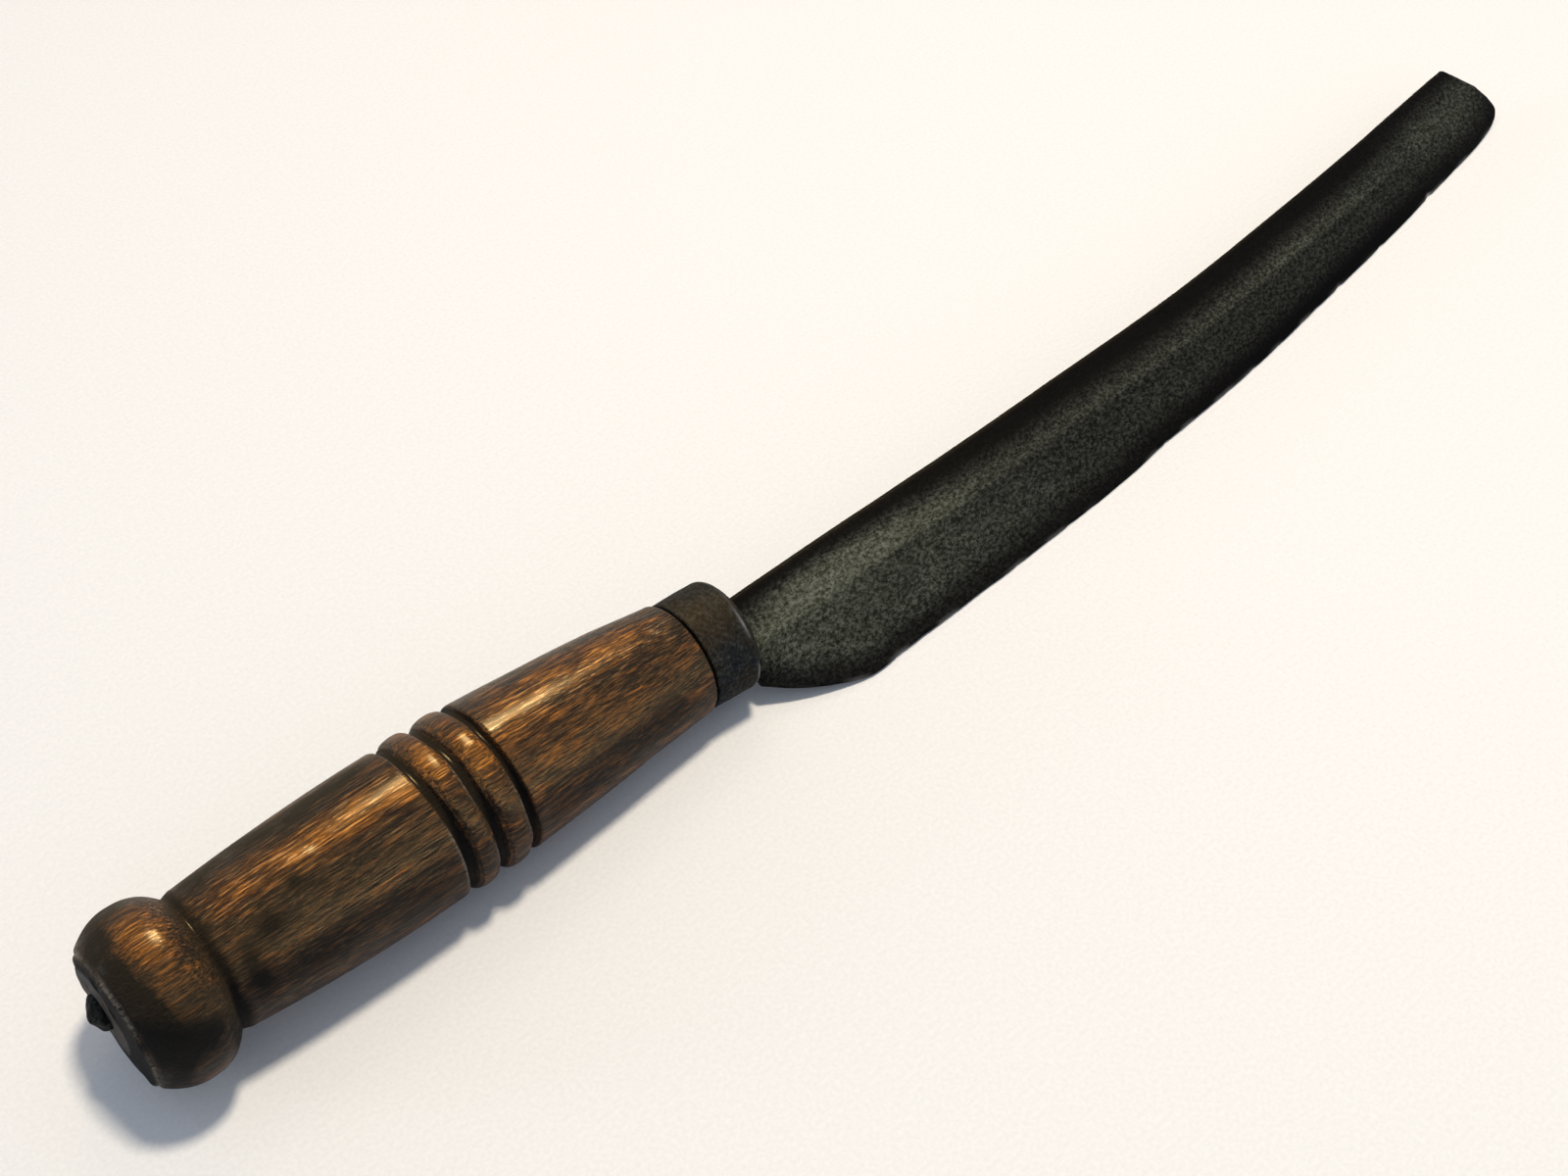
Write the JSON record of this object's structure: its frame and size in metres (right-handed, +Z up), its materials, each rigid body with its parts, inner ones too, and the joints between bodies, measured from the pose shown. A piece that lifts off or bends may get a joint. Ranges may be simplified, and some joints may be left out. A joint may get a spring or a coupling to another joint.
{
  "type": "drawknife",
  "caption": "One-handed drawknife: a long curved forged blade with a flat back and a bevel, in a turned beaded wooden handle with a steel ferrule and a riveted tang.",
  "frame": {"origin": "on the handle's axis, midway along the wood that shows", "axes": "+X towards the blade's tip, level; +Z up from the surface that the tool lies on; +Y towards the blade's back, so the cutting edge is on the -Y side. The handle's axis dips 2.45 degrees towards +X, and the blade is rolled 24.8 degrees from level, edge down, as the tool lies on its beads, heel and tip."},
  "size_m": [0.4576, 0.0453, 0.0399],
  "materials": {
    "blade_steel": "black forge patina, semi-matt",
    "ferrule_steel": "dark brown-grey patina, worn bright at the front rim",
    "handle_wood": "old dark-stained open-grained hardwood, polished by use",
    "washer_steel": "dark rusted steel"
  },
  "bodies": {
    "root": {"blade": "blade_steel", "ferrule": "ferrule_steel", "handle": "handle_wood", "tang_washer": "washer_steel"}
  },
  "joints": []
}
